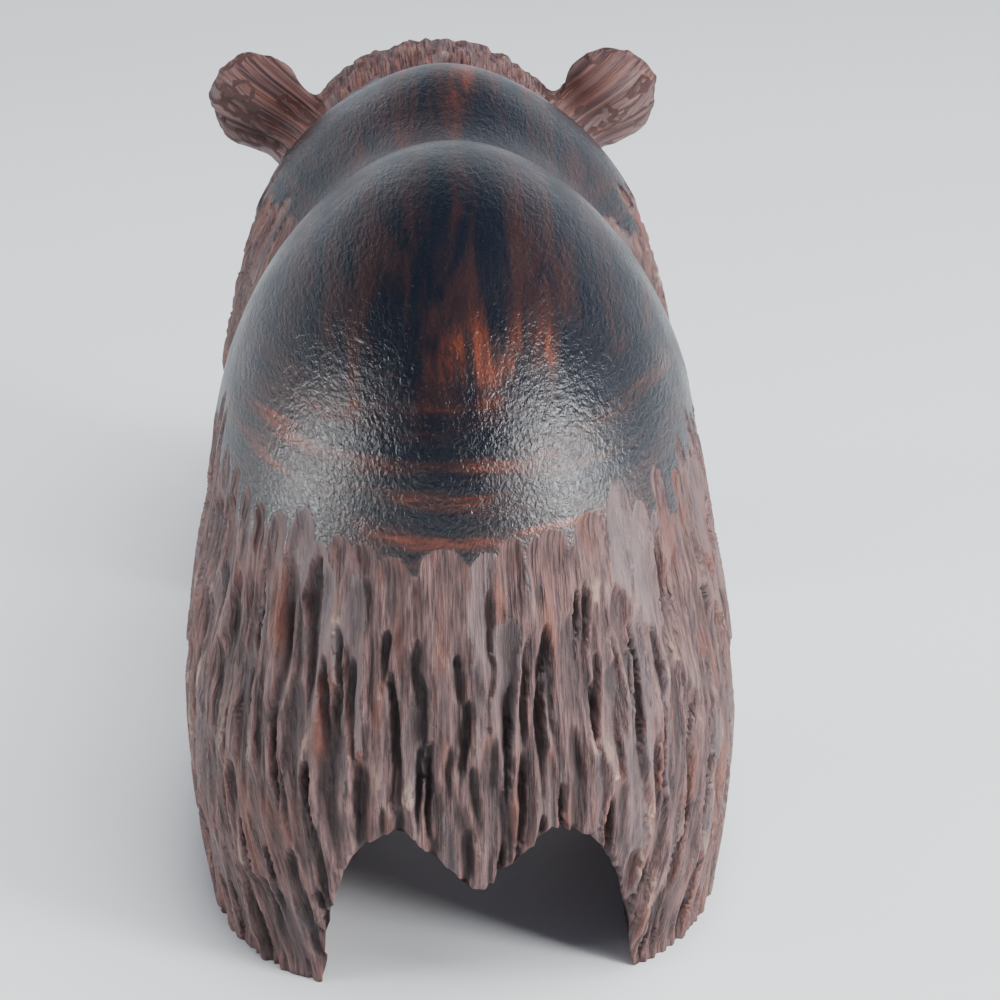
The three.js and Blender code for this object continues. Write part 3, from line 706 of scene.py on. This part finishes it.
class BearLook(bpy.types.PropertyGroup):
    """Sizes, colours and finish of the carving."""

    coat_height: size_choice("Coat height", "Height of the coat's edge on the rump", COAT_HEIGHT)
    deepest_cut: size_choice("Deepest cut", "How deep the gouge goes at most", DEEPEST)
    fine_edge: size_choice("Finest edge", "Longest edge of the mesh on the rump's coat", FINE_COAT)
    polish_dark: colour_choice("Polish dark", "Darkest wood of the polished back", (0.004, 0.005, 0.009))
    polish_brown: colour_choice("Polish brown", "Brown wood of the polished back", (0.020, 0.009, 0.009))
    polish_red: colour_choice("Polish red", "Red streaks in the polished back", (0.12, 0.025, 0.011))
    coat_dark: colour_choice("Coat dark", "Dark fibres of the gouged coat", (0.030, 0.013, 0.015))
    coat_light: colour_choice("Coat light", "Light fibres of the gouged coat", (0.17, 0.088, 0.078))
    coat_warm: colour_choice("Coat warm", "Red-brown fibres of the coat", (0.15, 0.045, 0.026))
    coat_ash: colour_choice("Coat ash", "Greyish cuts of the coat", (0.13, 0.10, 0.105))
    coat_chip: colour_choice("Coat chips", "Pale torn ends of the cuts", (0.42, 0.30, 0.22))
    # Painted shade colour laid into the bottoms of the deepest cuts
    groove_shade_colour: colour_choice("Grooves", "Bottoms of the deepest cuts", (0.012, 0.006, 0.007))
    polish_rough: bpy.props.FloatProperty(
        name="Polish roughness", description="How dull the polished back is", default=0.3, min=0.05, max=1,
        subtype="FACTOR",
    )


class StageLook(bpy.types.PropertyGroup):
    """The floor, the lights and the camera."""

    floor: colour_choice("Floor", "Colour of the floor", (0.78, 0.81, 0.83))
    floor_radius: bpy.props.FloatProperty(
        name="Floor radius", description="Radius of the round floor", default=4.0, min=0.5, unit="LENGTH"
    )
    sky: bpy.props.FloatProperty(
        name="Surrounding light", description="Brightness of the pale room", default=1.0, min=0
    )
    lens: bpy.props.FloatProperty(
        name="Lens", description="Focal length of the camera", default=87.6, min=10, subtype="DISTANCE_CAMERA"
    )


class BEAR_OT_carve(bpy.types.Operator):
    """Carve the bear and give it its ironwood finish"""

    bl_idname = "bear.carve"
    bl_label = "Carve Bear"

    def execute(self, context):
        look = context.scene.bear_look
        sizes = (round(size / MM, 3) for size in (look.coat_height, look.deepest_cut, look.fine_edge))
        points, faces, masks, fibre = carve(*sizes)
        mesh = bpy.data.meshes.new("carved_bear")
        mesh.vertices.add(len(points))
        mesh.vertices.foreach_set("co", (points * MM).astype(np.float32).ravel())
        mesh.loops.add(faces.size)
        mesh.loops.foreach_set("vertex_index", faces.astype(np.int32).ravel())
        mesh.polygons.add(len(faces))
        mesh.polygons.foreach_set("loop_start", np.arange(0, faces.size, 3, dtype=np.int32))
        mesh.update(calc_edges=True)
        for name, values in masks.items():
            layer = mesh.attributes.new(name, "FLOAT", "POINT")
            layer.data.foreach_set("value", values.astype(np.float32))
        layer = mesh.attributes.new("fibre", "FLOAT_VECTOR", "POINT")
        layer.data.foreach_set("vector", fibre.astype(np.float32).ravel())
        mesh.shade_smooth()
        if mesh.validate():
            raise RuntimeError("the carved mesh had faulty faces")
        mesh.materials.append(ironwood(look))
        bear = bpy.data.objects.new("carved_bear", mesh)
        context.scene.collection.objects.link(bear)
        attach(bear, "root")
        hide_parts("bear")
        return {"FINISHED"}


# The camera of the photograph: its place in millimetres and its turn in degrees
CAMERA_AT = (8.74, 362.3, 199.5)
CAMERA_PITCH, CAMERA_YAW, CAMERA_ROLL = 25.0, -2.731, -0.384

# Soft boxes: direction from the bear, distance, width, height, power and whether the polish shows it
SOFT_BOXES = (
    ("right_box", (-0.84, 0.50, 0.20), 0.75, 0.20, 0.36, 12.0, True),
    ("left_box", (0.98, 0.15, 0.10), 0.75, 0.18, 0.26, 5.0, True),
    ("top_box", (-0.25, 0.1, 0.96), 1.4, 1.1, 1.1, 38.0, False),
)
ROOM_DIM = (0.10, 0.13, 0.18, 1)
ROOM_BRIGHT = (0.9, 0.96, 1.05, 1)


def camera_turn():
    """The camera's axes from its pitch, yaw and roll."""
    pitch, yaw, roll = (math.radians(a) for a in (CAMERA_PITCH, CAMERA_YAW, CAMERA_ROLL))
    ahead = Vector((math.sin(yaw) * math.cos(pitch), -math.cos(yaw) * math.cos(pitch), -math.sin(pitch)))
    right = ahead.cross(Vector((0, 0, 1))).normalized()
    up = right.cross(ahead)
    right, up = (
        right * math.cos(roll) + up * math.sin(roll),
        up * math.cos(roll) - right * math.sin(roll),
    )
    return Matrix((right, up, -ahead)).transposed()


class BEAR_OT_stage(bpy.types.Operator):
    """Set the pale floor, the soft lights and the camera"""

    bl_idname = "bear.stage"
    bl_label = "Set Stage"

    def execute(self, context):
        look = context.scene.bear_stage
        scene = context.scene
        bpy.ops.mesh.primitive_circle_add(vertices=128, radius=look.floor_radius, fill_type="NGON")
        floor = context.object
        floor.name = "floor"
        floor.data.materials.append(plain_floor(look.floor))
        world = bpy.data.worlds.new("pale_room")
        world.use_nodes = True
        add = Recipe(world.node_tree)
        ahead = add("SeparateXYZ", {"Vector": add("TexCoord", out="Generated")}).node.outputs
        behind = add.band(ahead["Y"], 0.25, -0.75)
        low = add.band(ahead["Z"], 0.75, 0.12)
        backdrop = add.blend(add.math("MULTIPLY", behind, low), ROOM_DIM, ROOM_BRIGHT)
        background = add("Background", {"Color": backdrop, "Strength": look.sky})
        add("OutputWorld", {"Surface": background}, out=slice(0))
        scene.world = world
        for name, direction, distance, width, height, power, mirrored in SOFT_BOXES:
            data = bpy.data.lights.new(name, "AREA")
            data.shape = "RECTANGLE"
            data.size, data.size_y, data.energy = width, height, power
            box = bpy.data.objects.new(name, data)
            box.visible_glossy = mirrored
            away = Vector(direction).normalized()
            box.location = Vector((0, 0.05, 0.06)) + away * distance
            box.rotation_euler = away.to_track_quat("Z", "Y").to_euler()
            scene.collection.objects.link(box)
        data = bpy.data.cameras.new("camera")
        data.lens, data.sensor_width = look.lens, 36
        camera = bpy.data.objects.new("camera", data)
        camera.matrix_world = Matrix.Translation(Vector(CAMERA_AT) * MM) @ camera_turn().to_4x4()
        scene.collection.objects.link(camera)
        scene.camera = camera
        return {"FINISHED"}


class BEAR_PT_panel(bpy.types.Panel):
    """The bear's sizes, colours and steps"""

    bl_idname = "BEAR_PT_panel"
    bl_label = "Carved Bear"
    bl_space_type = "VIEW_3D"
    bl_region_type = "UI"
    bl_category = "Bear"

    def draw(self, context):
        for operator, group in (("bear.carve", "bear_look"), ("bear.stage", "bear_stage")):
            rows = self.layout.column()
            rows.operator(operator)
            look = getattr(context.scene, group)
            for name in look.__annotations__:
                rows.prop(look, name)


CLASSES = (BearLook, StageLook, BEAR_OT_carve, BEAR_OT_stage, BEAR_PT_panel)


def register():
    for item in CLASSES:
        bpy.utils.register_class(item)
    bpy.types.Scene.bear_look = bpy.props.PointerProperty(type=BearLook)
    bpy.types.Scene.bear_stage = bpy.props.PointerProperty(type=StageLook)


def unregister():
    del bpy.types.Scene.bear_look
    del bpy.types.Scene.bear_stage
    for item in reversed(CLASSES):
        bpy.utils.unregister_class(item)


def main():
    register()
    bpy.ops.bear.carve()
    bpy.ops.bear.stage()


if __name__ == "__main__":
    main()
